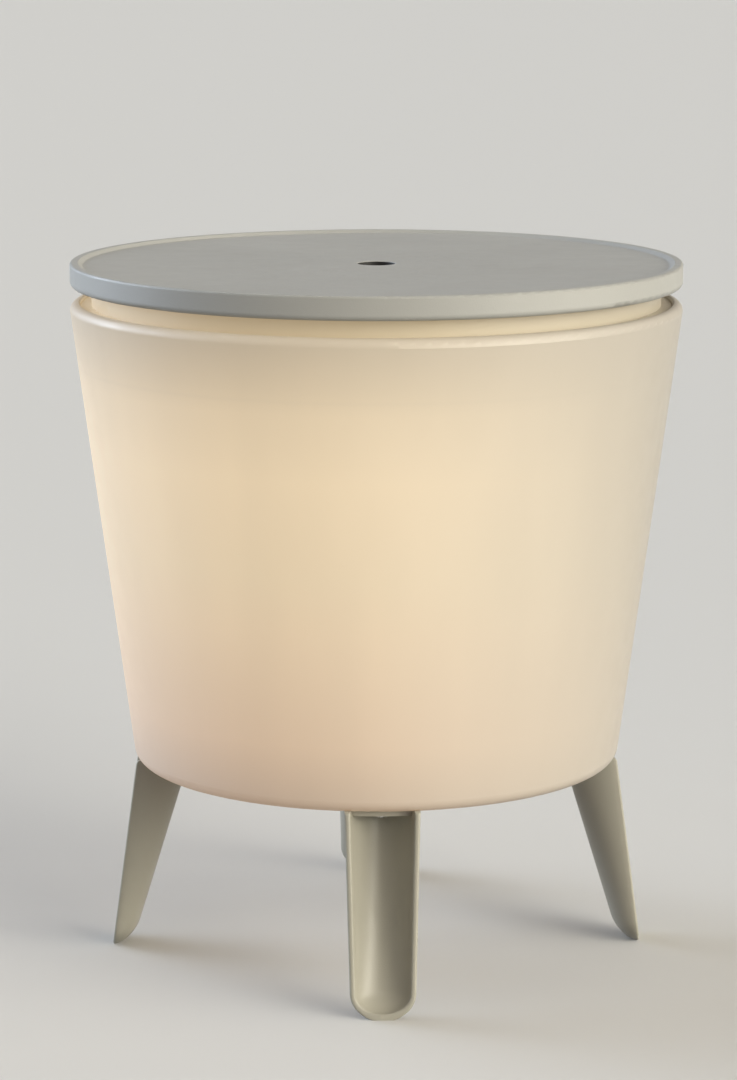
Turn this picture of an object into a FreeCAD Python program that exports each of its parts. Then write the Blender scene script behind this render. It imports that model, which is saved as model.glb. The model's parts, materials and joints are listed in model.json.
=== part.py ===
import FreeCAD, Part
import math
import os

# An ice bucket coffee table: a lit, translucent bucket body on four scooped legs, with a round
# table top that lifts on a central telescopic column and twists to lock at either end.
# Millimetres, Z up. The origin is on the floor, under the middle of the table.

V = FreeCAD.Vector
UP = V(0, 0, 1)

# General fits
slide_gap = 0.3          # between parts that slide or turn on each other
seat_gap = 0.3           # between a loose part and the place it sits in
screw_gap = 0.1          # around the shank of a screw
pin_fit = 0.02           # around a pin that stays put in its lugs
hinge_fit = 0.05         # around a pin that something turns on

# Roundings and small sizes that many pieces share
fine_rounding = 0.5
edge_rounding = 1.0
soft_rounding = 1.5
root_rounding = 3.0
boss_wall = 2.0          # material round the shank of a screw or a tenon
hole_spare = 1.0         # how much deeper a blind hole is than its screw
joining_depth = 0.5      # how far two shapes run into each other to become one piece

# Table top
table_height = 570.0
table_radius = 247.5
table_thickness = 19.0
table_edge_rounding = 2.0
table_lower_rounding = 4.5
skirt_wall = 5.0
top_plate = 3.0
lip_height = 2.6         # how far the lip stands above the tray
lip_width = 6.5
lip_slope = 4.0
hub_depth = 6.4
rib_width = 2.5
rib_count = 12
table_bottom = table_height - table_thickness
tray_level = table_height - lip_height
plate_under = tray_level - top_plate
hub_under = plate_under - hub_depth

# Cover under the table top
cover_plate = 3.0
centring_ring_wall = 3.0
centring_ring_depth = 10.0
centring_gap = 1.5
cover_screw_inset = 35.5  # neck of the body to the screws of the cover
cover_screw_count = 6
cover_screw_start = 15.0
cover_top = table_bottom + cover_plate
cover_radius = table_radius - skirt_wall - seat_gap

# Outer shell of the body
body_bottom = 160.0
shoulder_gap = 13.0      # shoulder to the underside of the table top
shell_wall = 3.0
shell_stand_out = 1.0    # top of the body beyond the edge of the table top
shell_taper = 50.1       # how much smaller the radius is at the bottom
shell_corner = 11.0
shoulder_corner = 6.5
shoulder_width = 9.2     # shoulder outside the ledge
ledge_width = 8.8        # ledge outside the neck
ledge_depth = 5.0
shoulder_level = table_bottom - shoulder_gap
ledge_level = shoulder_level - ledge_depth
ledge_under = ledge_level - shell_wall
shell_floor = body_bottom + shell_wall
shell_top_radius = table_radius + shell_stand_out
shell_bottom_radius = shell_top_radius - shell_taper
shell_slope = shell_taper / (shoulder_level - body_bottom)
ledge_radius = shell_top_radius - shoulder_width
neck_radius = ledge_radius - ledge_width
cover_screw_circle = neck_radius - cover_screw_inset

# Liner
liner_wall = 3.0
liner_flange = 2.5
neck_draft = 1.5         # how much smaller the neck's radius is at the step
step_drop = 53.0         # ledge to the step inside the bucket
step_rise = 3.0
step_width = 41.0
step_fillet = 8.0
step_edge = 6.0
liner_corner = 14.0
liner_inset = 47.4       # bottom of the liner inside the bottom of the shell
liner_stand = 62.0       # floor of the bucket above the underside of the body
step_level = ledge_level - step_drop
step_outer_radius = neck_radius - neck_draft
step_inner_radius = step_outer_radius - step_width
liner_floor_radius = shell_bottom_radius - liner_inset
liner_floor_level = body_bottom + liner_stand
neck_top = table_bottom - seat_gap
liner_under = liner_floor_level - liner_wall
pillar_circle = 105.0
pillar_radius = 12.0
pillar_wall = 3.0
sump_radius = 24.0
sump_depth = 4.5
drain_pillar_radius = 17.0
sump_level = liner_floor_level - sump_depth
sump_under = sump_level - liner_wall

# Telescopic column
inner_tube_radius = 26.0
inner_tube_wall = 4.0
bush_seat_depth = 2.0    # seat of the bush inside the tube's surface
tube_gap = 2.0           # surface of the inner tube to the bore of the outer one
outer_tube_wall = 4.0
track_depth = 2.0        # grooves in the bore
track_width = 12.0
foot_thickness = 5.0
foot_fillet = 6.0
foot_screw_reach = 13.0  # surface of the outer tube to the foot's screws
foot_screw_edge = 9.0    # foot's screws to its edge
foot_boss_radius = 5.5
foot_boss_depth = 12.0
head_thickness = 5.0
head_screw_reach = 14.0  # surface of the inner tube to the head's screws
head_screw_edge = 10.0   # head's screws to its edge
head_boss_radius = 6.0
cover_hole_gap = 4.0     # head to the cover round it
column_foot_gap = 4.0    # lower end of the inner tube to the liner floor
lock_ring_height = 10.0
lock_turn = 30.0
lock_play = 0.4
bush_height = 21.0
spigot_length = 39.0
spigot_wall = 4.0
lock_pin_radius = 2.5
lock_pin_rise = 32.0
lock_pin_inset = 1.0     # ends of the pin inside the tube's surface
collar_drop = 5.0        # top of the collar to the underside of the table top
collar_wall = 4.0        # surface of the outer tube to the outside of the collar
collar_cap = 5.0
collar_skirt = 12.0
column_overlap = 50.0    # length still inside at full lift
wiper_height = 3.0
wiper_width = 3.5
collar_screw_count = 3
collar_screw_start = 90.0
inner_tube_bore = inner_tube_radius - inner_tube_wall
bush_seat_radius = inner_tube_radius - bush_seat_depth
outer_tube_bore = inner_tube_radius + tube_gap
outer_tube_radius = outer_tube_bore + outer_tube_wall
track_radius = outer_tube_bore + track_depth
foot_screw_circle = outer_tube_radius + foot_screw_reach
foot_radius = foot_screw_circle + foot_screw_edge
head_screw_circle = inner_tube_radius + head_screw_reach
head_radius = head_screw_circle + head_screw_edge
cover_hole_radius = head_radius + cover_hole_gap
collar_radius = outer_tube_radius + collar_wall
wiper_radius = inner_tube_radius + wiper_width
lug_width = track_width - 2 * slide_gap
lock_ring_level = liner_floor_level + column_foot_gap
lock_ring_top = lock_ring_level + lock_ring_height
lock_pin_level = lock_ring_top + lock_pin_rise
bush_level = lock_ring_top + slide_gap
bush_top = bush_level + bush_height
bush_shoulder = bush_top + slide_gap
collar_top = table_bottom - collar_drop
tube_top = collar_top - collar_cap
lift_travel = collar_top - lock_ring_level - column_overlap
collar_spigot_end = bush_top + lift_travel + 2 * slide_gap

# Grip cup in the finger hole
cup_gap = 1.5            # cup inside the bore of the inner tube
cup_wall = 2.0
cup_depth = 46.0
cup_corner = 4.0
cup_flange = 1.8
cup_flange_width = 4.5
hub_inset = 1.0          # hub of the table top inside the cup's flange
hole_overhang = 3.3      # finger hole inside the cup's bore
cup_outer_radius = inner_tube_bore - cup_gap
cup_flange_radius = cup_outer_radius + cup_flange_width
hub_radius = cup_flange_radius - hub_inset
hole_radius = cup_outer_radius - cup_wall - hole_overhang

# Legs
leg_inset = 0.8          # open face of a leg inside the bottom of the body
leg_splay = 21.9         # how much further out the open face is at the floor
leg_top_half_width = 29.6
leg_foot_half_width = 26.0
leg_top_depth = 44.0
leg_foot_depth = 20.0
leg_wall = 4.6
leg_round_level = 26.0   # where the rounded end starts
leg_flat_cut = 1.2       # how much of the rounded end is cut away flat at the floor
leg_plate = 5.0
tongue_half_width = 20.0
tongue_reach = 8.0       # inner screw to the middle of the tongue's round end
leg_screw_inset = 21.6   # open face to the outer screw
leg_screw_pitch = 46.0
tenon_length = 30.0
tenon_width = 8.0
tenon_height = 10.0
leg_boss_radius = 6.0
leg_boss_height = 14.0
leg_top_radius = shell_bottom_radius - leg_inset
leg_foot_radius = leg_top_radius + leg_splay
leg_screw_outer = leg_top_radius - leg_screw_inset
leg_screw_inner = leg_screw_outer - leg_screw_pitch
tenon_centre = (leg_screw_outer + leg_screw_inner) / 2
tongue_centre = leg_screw_inner + tongue_reach

# Drain
spout_radius = 12.0
spout_bore = 8.6
spout_flange_radius = 17.0
spout_flange = 2.5
spout_end_drop = 12.0    # end of the spout below the body
drain_seal_thickness = 1.5
drain_nut_flats = 34.0
drain_nut_height = 8.0
plug_length = 20.0
plug_knob_radius = 15.0
plug_knob_height = 8.0
plug_scallop_count = 8
plug_scallop_radius = 3.0
plug_ring_section = 1.0
plug_ring_rise = 12.0
drain_angle = 45.0

# Lamp module
lamp_flange_radius = 64.0
lamp_flange_width = 16.0
lamp_flange = 3.0
lamp_wall = 2.5
lamp_height = 35.5
lamp_seal_thickness = 1.5
lamp_screw_inset = 7.0
lamp_boss_radius = 5.0
lamp_boss_height = 9.0
diffuser_wall = 2.0
diffuser_side = 6.0
diffuser_rise = 6.0
diffuser_corner = 5.0
diffuser_lip = 2.0       # length inside the housing
diffuser_ledge = 1.0
board_inset = 4.0        # board inside the outside of the housing
board_thickness = 1.6
board_post_radius = 3.5
board_post_inset = 6.0
board_post_height = 29.5
led_size = 5.0
led_height = 1.6
led_outer_inset = 16.0
led_outer_count = 12
led_inner_count = 6
fitting_inset = 9.0      # button and charging inlet inside the edge of the board
battery_end_gap = 10.0   # end of the battery to the middle of the button
battery_width = 37.5
battery_height = 18.5
battery_side_flat = 0.1
bracket_width = 12.0
bracket_sheet = 1.5
bracket_foot = 9.0
bracket_post_height = 3.0
bracket_shoulder = 3.0
wire_radius = 0.8
wire_reach = 5.0
wire_bend = 3.0
button_radius = 7.0
button_travel = 1.5
button_stand_out = 2.0
button_stem_radius = 3.0
button_rim = 1.2         # rim that keeps the button in its hole
button_rim_height = 1.5
sleeve_wall = 1.2
sleeve_height = 8.0
switch_size = 6.0
switch_height = 4.0
switch_plunger = 1.5
switch_plunger_radius = 1.7
jack_length = 14.0
jack_width = 9.0
jack_height = 11.0
jack_bore = 3.0
jack_back = 2.0          # material behind the bore
jack_pin_radius = 0.9
jack_pin_gap = 1.0       # cap's stub to the tip of the pin
cap_hole_radius = 4.0
cap_radius = 7.0
cap_thickness = 1.9
cap_stub_radius = 2.6
cap_stub_tip = 2.0
cap_stub_height = 2.6
cap_hinge_reach = 10.0
cap_barrel_radius = 1.6
cap_pin_radius = 0.8
cap_barrel_length = 6.0
cap_lug_width = 1.8
lamp_radius = lamp_flange_radius - lamp_flange_width
lamp_screw_circle = lamp_flange_radius - lamp_screw_inset
board_radius = lamp_radius - board_inset
board_post_circle = board_radius - board_post_inset
led_outer_circle = board_radius - led_outer_inset
led_inner_circle = led_outer_circle / 2
button_offset = board_radius - fitting_inset
jack_offset = board_radius - fitting_inset
battery_length = 2 * (button_offset - battery_end_gap)
lamp_seal_under = body_bottom - lamp_seal_thickness
lamp_under = lamp_seal_under - lamp_flange
lamp_top = lamp_seal_under + lamp_height
board_level = lamp_seal_under + board_post_height
board_top = board_level + board_thickness
hinge_x = jack_offset + cap_hinge_reach
hinge_level = lamp_under - seat_gap - cap_barrel_radius
hinge_half = cap_barrel_length / 2 + slide_gap + cap_lug_width
bracket_screw_place = battery_width / 2 + bracket_sheet + bracket_foot / 2
bracket_low = lamp_seal_under + bracket_post_height
battery_low = lamp_seal_under + seat_gap

# Screws: head radius, head height, shank radius, shank length
leg_screw = (5.0, 3.0, 2.4, 16.0)
foot_screw = (4.0, 2.4, 1.9, 14.0)
head_screw = (3.8, 2.2, 1.8, 12.0)
cover_screw = (4.0, 2.0, 1.8, 10.0)
lamp_screw = (3.6, 2.0, 1.7, 12.0)
board_screw = (2.6, 1.6, 1.2, 8.0)
collar_screw = (3.0, 1.4, 1.3, 6.0)
bracket_screw = (2.6, 1.6, 1.2, 4.5)


# Outlines and solids of revolution

def rounded_corner(before, corner, after, radius):
    """Start, middle and end of the arc that rounds one corner of an outline."""
    back = (before - corner).normalize()
    ahead = (after - corner).normalize()
    half_angle = back.getAngle(ahead) / 2
    reach = radius / math.tan(half_angle)
    bisector = (back + ahead).normalize()
    centre = corner + bisector * (radius / math.sin(half_angle))
    return corner + back * reach, centre - bisector * radius, corner + ahead * reach


def outline(corners):
    """Closed wire in the XZ plane through corners given as (x, z) or (x, z, rounding radius)."""
    points = [V(corner[0], 0, corner[1]) for corner in corners]
    count = len(points)
    turns = []
    for i, corner in enumerate(corners):
        if len(corner) == 3 and corner[2] > 0:
            turns.append(rounded_corner(points[i - 1], points[i], points[(i + 1) % count], corner[2]))
        else:
            turns.append((points[i], None, points[i]))
    edges = []
    for i, (start, middle, end) in enumerate(turns):
        if middle is not None:
            edges.append(Part.Arc(start, middle, end).toShape())
        following = turns[(i + 1) % count][0]
        if end.distanceToPoint(following) > 0.000001:
            edges.append(Part.makeLine(end, following))
    return Part.Wire(edges)


def turned(corners):
    """Solid made by turning an outline about the Z axis."""
    return Part.Face(outline(corners)).revolve(V(0, 0, 0), UP, 360)


def wall(path, thickness):
    """Outline of a wall of even thickness: the path and its offset to the left."""
    steps = []
    for here, ahead in zip(path, path[1:]):
        steps.append(V(ahead[0] - here[0], 0, ahead[1] - here[1]).normalize())
    lefts = [V(-step.z, 0, step.x) for step in steps]
    offset = []
    for i, corner in enumerate(path):
        radius = corner[2] if len(corner) == 3 else 0
        if i in (0, len(path) - 1):
            left = lefts[0] if i == 0 else lefts[-1]
            shift = V(0, 0, 1 / left.z) if corner[0] == 0 else left
        else:
            shift = (lefts[i - 1] + lefts[i]) * (1 / (1 + lefts[i - 1].dot(lefts[i])))
            if radius > 0:
                left_turn = steps[i - 1].x * steps[i].z - steps[i - 1].z * steps[i].x > 0
                radius = max(radius - thickness, 0) if left_turn else radius + thickness
        offset.append((corner[0] + shift.x * thickness, corner[1] + shift.z * thickness, radius))
    return path + offset[::-1]


def disc(radius, low, high, x=0.0, y=0.0):
    return Part.makeCylinder(radius, high - low, V(x, y, low))


def ring(outer, inner, low, high, x=0.0, y=0.0):
    return disc(outer, low, high, x, y).cut(disc(inner, low, high, x, y))


def block(low_corner, high_corner):
    size = high_corner - low_corner
    return Part.makeBox(size.x, size.y, size.z, low_corner)


def spun(shape, angle):
    """Copy of a shape turned about the Z axis."""
    copy = shape.copy()
    copy.rotate(V(0, 0, 0), UP, angle)
    return copy


def spots(radius, count, first=0.0):
    """Points evenly spaced round a circle."""
    points = []
    for i in range(count):
        angle = math.radians(first + 360.0 * i / count)
        points.append((radius * math.cos(angle), radius * math.sin(angle)))
    return points


def diagonals(radius):
    """Four points round a circle, between the directions of the legs."""
    return spots(radius, 4, 45.0)


def screw(size, place, direction):
    """Pan head screw whose head seats at the place and whose shank runs along the direction."""
    head, head_height, shank, length = size
    crown = 0.6 * head_height
    tip_length = shank
    corners = [(0, -head_height), (head, -head_height, crown), (head, 0)]
    corners += [(shank, 0), (shank, length - tip_length), (0, length)]
    body = turned(corners)
    body.Placement = FreeCAD.Placement(place, FreeCAD.Rotation(UP, direction))
    return body


def screw_hole(size, place, direction, depth):
    """Hole for the shank of a screw, from its seat to the given depth."""
    return Part.makeCylinder(size[2] + screw_gap, depth, place, direction)


# Table top and its column, which lift and turn together

def table_top():
    inner = table_radius - skirt_wall
    crest = table_radius - lip_width
    profile = [(hole_radius, hub_under, edge_rounding), (hub_radius, hub_under, edge_rounding)]
    profile += [(hub_radius, plate_under, soft_rounding), (inner, plate_under, soft_rounding)]
    profile += [(inner, table_bottom)]
    profile += [(table_radius, table_bottom, table_lower_rounding)]
    profile += [(table_radius, table_height, table_edge_rounding)]
    profile += [(crest, table_height, edge_rounding), (crest - lip_slope, tray_level, root_rounding)]
    profile += [(hole_radius, tray_level, edge_rounding)]
    top = turned(profile)
    into_plate = plate_under + joining_depth
    rib_start = cover_hole_radius + seat_gap
    stiffeners = [ring(rib_start + rib_width, rib_start, cover_top, into_plate)]
    for i in range(rib_count):
        deep = block(V(rib_start, -rib_width / 2, cover_top),
                     V(inner + joining_depth, rib_width / 2, into_plate))
        shallow = block(V(hub_radius - joining_depth, -rib_width / 2, hub_under),
                        V(rib_start + joining_depth, rib_width / 2, into_plate))
        stiffeners.append(spun(deep, 360.0 * i / rib_count))
        stiffeners.append(spun(shallow, 360.0 * i / rib_count))
    for x, y in spots(cover_screw_circle, cover_screw_count, cover_screw_start):
        stiffeners.append(disc(cover_screw[2] + boss_wall, cover_top, into_plate, x, y))
    for x, y in diagonals(head_screw_circle):
        stiffeners.append(disc(head_boss_radius, hub_under, into_plate, x, y))
    top = top.fuse(stiffeners)
    holes = []
    for x, y in spots(cover_screw_circle, cover_screw_count, cover_screw_start):
        holes.append(screw_hole(cover_screw, V(x, y, table_bottom), UP, cover_screw[3]))
    for x, y in diagonals(head_screw_circle):
        seat = hub_under - head_thickness
        holes.append(screw_hole(head_screw, V(x, y, seat), UP, head_screw[3]))
    return top.cut(holes).removeSplitter()


def table_underside():
    ring_outer = neck_radius - liner_wall - centring_gap
    ring_inner = ring_outer - centring_ring_wall
    ring_end = table_bottom - centring_ring_depth
    profile = [(cover_hole_radius, table_bottom, edge_rounding), (ring_inner, table_bottom)]
    profile += [(ring_inner, ring_end, fine_rounding), (ring_outer, ring_end, edge_rounding)]
    profile += [(ring_outer, table_bottom)]
    profile += [(cover_radius, table_bottom), (cover_radius, cover_top), (cover_hole_radius, cover_top)]
    cover = turned(profile)
    holes = []
    for x, y in spots(cover_screw_circle, cover_screw_count, cover_screw_start):
        holes.append(screw_hole(cover_screw, V(x, y, table_bottom), UP, cover_plate))
    return cover.cut(holes)


def table_screws():
    places = spots(cover_screw_circle, cover_screw_count, cover_screw_start)
    return Part.makeCompound([screw(cover_screw, V(x, y, table_bottom), UP) for x, y in places])


def grip_cup():
    flange_under = hub_under - cup_flange
    cup_floor = hub_under - cup_depth
    bore = cup_outer_radius - cup_wall
    profile = [(0, cup_floor), (cup_outer_radius, cup_floor, cup_corner)]
    profile += [(cup_outer_radius, flange_under), (cup_flange_radius, flange_under)]
    profile += [(cup_flange_radius, hub_under), (bore, hub_under, fine_rounding)]
    profile += [(bore, cup_floor + cup_wall, cup_corner - cup_wall), (0, cup_floor + cup_wall)]
    return turned(profile)


def lift_column():
    head_under = hub_under - head_thickness
    pocket = cup_flange_radius + seat_gap
    profile = [(inner_tube_bore, bush_level), (bush_seat_radius, bush_level)]
    profile += [(bush_seat_radius, bush_shoulder), (inner_tube_radius, bush_shoulder, fine_rounding)]
    profile += [(inner_tube_radius, head_under, root_rounding), (head_radius, head_under, edge_rounding)]
    profile += [(head_radius, hub_under, edge_rounding), (pocket, hub_under)]
    profile += [(pocket, hub_under - cup_flange), (inner_tube_bore, hub_under - cup_flange)]
    column = turned(profile)
    holes = [pin_hole()]
    for x, y in diagonals(head_screw_circle):
        holes.append(screw_hole(head_screw, V(x, y, head_under), UP, head_thickness))
    return column.cut(holes)


def column_head_screws():
    seat = hub_under - head_thickness
    places = diagonals(head_screw_circle)
    return Part.makeCompound([screw(head_screw, V(x, y, seat), UP) for x, y in places])


def pin_hole():
    start = V(0, -inner_tube_radius, lock_pin_level)
    return Part.makeCylinder(lock_pin_radius + screw_gap, 2 * inner_tube_radius, start, V(0, 1, 0))


def lock_pin():
    reach = inner_tube_radius - lock_pin_inset
    return Part.makeCylinder(lock_pin_radius, 2 * reach, V(0, -reach, lock_pin_level), V(0, 1, 0))


def key(low, high):
    """Pair of keys that ride in the track, one on each side."""
    reach = track_radius - slide_gap
    bar = block(V(-reach, -lug_width / 2, low), V(reach, lug_width / 2, high))
    return bar.common(disc(reach, low, high))


def lock_ring():
    spigot = inner_tube_bore - slide_gap
    bore = spigot - spigot_wall
    body = outer_tube_bore - slide_gap
    spigot_top = lock_ring_top + spigot_length
    profile = [(bore, lock_ring_level, edge_rounding), (body, lock_ring_level, edge_rounding)]
    profile += [(body, lock_ring_top), (spigot, lock_ring_top), (spigot, spigot_top, soft_rounding)]
    profile += [(bore, spigot_top)]
    lugs = key(lock_ring_level, lock_ring_top).cut(disc(spigot, lock_ring_level, lock_ring_top))
    return turned(profile).fuse(lugs).cut(pin_hole()).removeSplitter()


def guide_bush():
    bore = bush_seat_radius + slide_gap
    body = outer_tube_bore - slide_gap
    keys = key(bush_level, bush_top).cut(disc(bore, bush_level, bush_top))
    return ring(body, bore, bush_level, bush_top).fuse(keys).removeSplitter()


# Fixed column

def pocket_sector(low, high):
    """Part turn of the lock track, swept from the groove in the locking direction."""
    reach = track_radius
    half = math.degrees(math.asin(track_width / 2 / outer_tube_bore))
    sweep = lock_turn + 2 * half
    sector = Part.makeCylinder(reach, high - low, V(0, 0, low), UP, sweep)
    sector.rotate(V(0, 0, 0), UP, -lock_turn - half)
    return [sector, spun(sector, 180.0)]


def outer_column():
    foot_top = liner_floor_level + foot_thickness
    profile = [(outer_tube_bore, liner_floor_level), (foot_radius, liner_floor_level)]
    profile += [(foot_radius, foot_top, soft_rounding), (outer_tube_radius, foot_top, foot_fillet)]
    profile += [(outer_tube_radius, tube_top), (outer_tube_bore, tube_top)]
    tube = turned(profile)
    low = lock_ring_level - lock_play
    high = lock_ring_top + lock_play
    groove = block(V(-track_radius, -track_width / 2, low), V(track_radius, track_width / 2, tube_top))
    cuts = [groove.common(disc(track_radius, low, tube_top))]
    cuts += pocket_sector(low, high)
    cuts += pocket_sector(low + lift_travel, high + lift_travel)
    for x, y in diagonals(foot_screw_circle):
        cuts.append(screw_hole(foot_screw, V(x, y, foot_top), V(0, 0, -1), foot_thickness))
    cuts += collar_screw_holes()
    return tube.cut(cuts).removeSplitter()


def column_foot_screws():
    seat = liner_floor_level + foot_thickness
    places = diagonals(foot_screw_circle)
    return Part.makeCompound([screw(foot_screw, V(x, y, seat), V(0, 0, -1)) for x, y in places])


def collar_screw_holes():
    level = tube_top - collar_skirt / 2
    holes = []
    for x, y in spots(collar_radius, collar_screw_count, collar_screw_start):
        holes.append(screw_hole(collar_screw, V(x, y, level), V(-x, -y, 0), collar_screw[3] + screw_gap))
    return holes


def collar_screws():
    level = tube_top - collar_skirt / 2
    places = spots(collar_radius, collar_screw_count, collar_screw_start)
    return Part.makeCompound([screw(collar_screw, V(x, y, level), V(-x, -y, 0)) for x, y in places])


def column_collar():
    bore = inner_tube_radius + slide_gap
    spigot = outer_tube_bore - seat_gap
    skirt = outer_tube_radius + seat_gap
    profile = [(bore, collar_spigot_end, fine_rounding), (spigot, collar_spigot_end), (spigot, tube_top)]
    profile += [(skirt, tube_top), (skirt, tube_top - collar_skirt)]
    profile += [(collar_radius, tube_top - collar_skirt), (collar_radius, collar_top, soft_rounding)]
    profile += [(wiper_radius, collar_top), (wiper_radius, collar_top - wiper_height)]
    profile += [(bore, collar_top - wiper_height)]
    return turned(profile).cut(collar_screw_holes())


def column_wiper():
    bore = inner_tube_radius + slide_gap
    outer = wiper_radius - seat_gap
    low = collar_top - wiper_height
    profile = [(bore, low), (outer, low), (outer, collar_top, fine_rounding)]
    profile += [(bore, collar_top, fine_rounding)]
    return turned(profile)


# Body

def drain_place():
    angle = math.radians(drain_angle)
    return pillar_circle * math.cos(angle), pillar_circle * math.sin(angle)


def outer_shell():
    lamp_hole = lamp_radius + seat_gap
    ledge_inner = neck_radius + 2 * seat_gap
    wall_across = shell_wall / math.cos(math.atan(shell_slope))
    ledge_outer = shell_top_radius - (shoulder_level - ledge_under) * shell_slope - wall_across
    floor_outer = shell_bottom_radius + shell_wall * shell_slope - wall_across
    profile = [(lamp_hole, body_bottom), (shell_bottom_radius, body_bottom, shell_corner)]
    profile += [(shell_top_radius, shoulder_level, shoulder_corner)]
    profile += [(ledge_radius, shoulder_level, soft_rounding), (ledge_radius, ledge_level)]
    profile += [(ledge_inner, ledge_level), (ledge_inner, ledge_under)]
    profile += [(ledge_outer, ledge_under, root_rounding)]
    profile += [(floor_outer, shell_floor, shell_corner - shell_wall), (lamp_hole, shell_floor)]
    shell = turned(profile)
    bosses = []
    holes = []
    into_floor = shell_floor - joining_depth
    socket_top = body_bottom + tenon_height + seat_gap
    for i in range(4):
        angle = 90.0 * i
        for radius in (leg_screw_inner, leg_screw_outer):
            boss = disc(leg_boss_radius, into_floor, shell_floor + leg_boss_height, radius)
            bosses.append(spun(boss, angle))
            seat = V(radius, 0, body_bottom - leg_plate)
            holes.append(spun(screw_hole(leg_screw, seat, UP, leg_screw[3] + hole_spare), angle))
        socket = tenon(seat_gap + boss_wall, into_floor, socket_top + shell_wall)
        bosses.append(spun(socket, angle))
        holes.append(spun(tenon(seat_gap, body_bottom, socket_top), angle))
    for x, y in diagonals(lamp_screw_circle):
        bosses.append(disc(lamp_boss_radius, into_floor, shell_floor + lamp_boss_height, x, y))
        holes.append(screw_hole(lamp_screw, V(x, y, lamp_under), UP, lamp_screw[3] + hole_spare))
    x, y = drain_place()
    holes.append(disc(spout_radius + seat_gap, body_bottom, shell_floor, x, y))
    return shell.fuse(bosses).cut(holes).removeSplitter()


def ice_bucket():
    path = [(0, liner_under), (liner_floor_radius, liner_under, liner_corner)]
    path += [(step_inner_radius, step_level - step_rise, step_edge)]
    path += [(step_outer_radius, step_level, step_fillet), (neck_radius, neck_top, edge_rounding)]
    bucket = turned(wall(path, liner_wall))
    flange_inner = neck_radius - neck_draft
    flange_outer = ledge_radius - seat_gap
    flange_top = ledge_level + liner_flange
    flange = turned([(flange_inner, ledge_level), (flange_outer, ledge_level, fine_rounding),
                     (flange_outer, flange_top, edge_rounding), (flange_inner, flange_top)])
    extras = [flange]
    holes = []
    pillar_foot = shell_floor + seat_gap
    into_liner = liner_under + joining_depth
    for x, y in spots(pillar_circle, 4, drain_angle)[1:]:
        extras.append(disc(pillar_radius, pillar_foot, into_liner, x, y))
        holes.append(disc(pillar_radius - pillar_wall, pillar_foot, liner_under, x, y))
    x, y = drain_place()
    extras.append(disc(sump_radius + liner_wall, sump_under, into_liner, x, y))
    extras.append(disc(drain_pillar_radius, pillar_foot, sump_under + joining_depth, x, y))
    holes.append(disc(sump_radius, sump_level, liner_floor_level, x, y))
    holes.append(disc(spout_radius + seat_gap, pillar_foot, sump_level, x, y))
    for x, y in diagonals(foot_screw_circle):
        extras.append(disc(foot_boss_radius, liner_under - foot_boss_depth, into_liner, x, y))
        depth = foot_screw[3] - foot_thickness + hole_spare
        holes.append(screw_hole(foot_screw, V(x, y, liner_floor_level), V(0, 0, -1), depth))
    return bucket.fuse(extras).cut(holes).removeSplitter()


# Legs

def leg_face(level):
    """Distance of the open face of a leg from the middle of the table."""
    return leg_foot_radius + (leg_top_radius - leg_foot_radius) * level / body_bottom


def leg_section(level, rounding, inset):
    """Outline of a leg at one level: half an ellipse that opens outwards."""
    share = (level - leg_round_level) / (body_bottom - leg_round_level)
    half_width = leg_foot_half_width + (leg_top_half_width - leg_foot_half_width) * share - inset
    depth = leg_foot_depth + (leg_top_depth - leg_foot_depth) * share - inset
    half_width *= rounding
    depth *= rounding
    face = leg_face(level)
    root_half = math.sqrt(0.5)
    poles = [V(face, half_width, level), V(face - depth, half_width, level), V(face - depth, 0, level)]
    poles += [V(face - depth, -half_width, level), V(face, -half_width, level)]
    curve = Part.BSplineCurve()
    weights = [1.0, root_half, 1.0, root_half, 1.0]
    curve.buildFromPolesMultsKnots(poles, [3, 2, 3], [0.0, 0.5, 1.0], False, 2, weights)
    beyond = 3.0
    corners = [V(face + beyond, -half_width, level), V(face + beyond, half_width, level)]
    edges = [curve.toShape(), Part.makeLine(poles[4], corners[0])]
    edges += [Part.makeLine(corners[0], corners[1]), Part.makeLine(corners[1], poles[0])]
    return Part.Wire(edges)


def scoop(top_level, inset):
    """Solid scoop of a leg, rounded at the foot; an inset makes the hollow inside it."""
    straight = [leg_section(top_level, 1.0, inset), leg_section(leg_round_level, 1.0, inset)]
    upper = Part.makeLoft(straight, True, True)
    reach = leg_round_level + leg_flat_cut - inset
    closing_angle = 85.0
    if inset == 0:
        closing_angle = math.degrees(math.asin(leg_round_level / reach))
    sections = []
    steps = 7
    for i in range(steps + 1):
        angle = math.radians(closing_angle * i / steps)
        sections.append(leg_section(leg_round_level - reach * math.sin(angle), math.cos(angle), inset))
    return upper.fuse(Part.makeLoft(sections, True, False))


def tenon(margin, low, high):
    """Locating block of a leg, or the socket round it when there is a margin."""
    half_length = tenon_length / 2 + margin
    half_width = tenon_width / 2 + margin
    return block(V(tenon_centre - half_width, -half_length, low),
                 V(tenon_centre + half_width, half_length, high))


def body_envelope():
    """Space of the body above the legs, with a small gap at its rounded corner."""
    corner = shell_bottom_radius + seat_gap
    height = 2 * shell_corner
    profile = [(0, body_bottom), (corner, body_bottom, shell_corner)]
    profile += [(corner + height * shell_slope, body_bottom + height), (0, body_bottom + height)]
    return turned(profile)


def space_beyond_leg(top_level):
    """Everything outside the plane of a leg's open face."""
    low = -leg_round_level
    far = 2 * leg_foot_radius
    corners = [V(leg_face(low), 0, low), V(far, 0, low)]
    corners += [V(far, 0, top_level), V(leg_face(top_level), 0, top_level)]
    side = Part.Face(Part.makePolygon(corners + corners[:1]))
    side.translate(V(0, -leg_foot_radius, 0))
    return side.extrude(V(0, 2 * leg_foot_radius, 0))


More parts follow.
